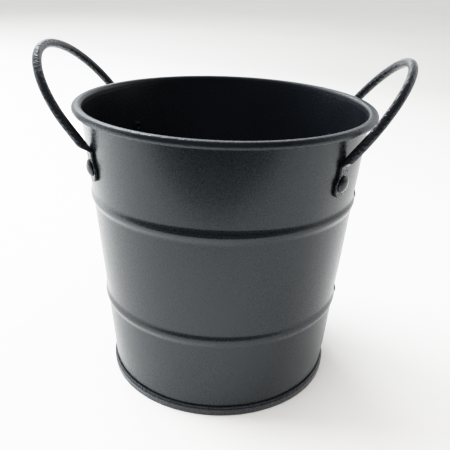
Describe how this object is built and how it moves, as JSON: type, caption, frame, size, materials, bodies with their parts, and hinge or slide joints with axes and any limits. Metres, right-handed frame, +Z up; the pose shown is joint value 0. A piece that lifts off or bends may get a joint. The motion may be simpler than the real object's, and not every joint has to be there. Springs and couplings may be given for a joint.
{
  "type": "florist bucket",
  "caption": "Small tapered sheet-metal florist bucket with a curled rim, raised beads, a seamed base and riveted wire loop handles.",
  "frame": {"origin": "centre of the bucket's footprint on the surface it stands on", "axes": "+Z up through the open mouth; the handles stand on +X (over the side seam) and -X; -Y is the front"},
  "size_m": [0.1577, 0.13, 0.1488],
  "materials": {
    "wall_coat": "satin black powder coat, fine grain, a few raised specks",
    "base_coat": "satin black powder coat, pooled and speckled along the seam",
    "handle_coat": "textured black powder coat, coarse grain that glints",
    "rivet_coat": "satin black powder coat over the rivet heads"
  },
  "bodies": {
    "root": {"bucket_wall": "wall_coat", "base_pan": "base_coat", "right_handle": "handle_coat", "left_handle": "handle_coat", "right_handle_front_rivet": "rivet_coat", "right_handle_rear_rivet": "rivet_coat", "left_handle_front_rivet": "rivet_coat", "left_handle_rear_rivet": "rivet_coat"}
  },
  "joints": []
}
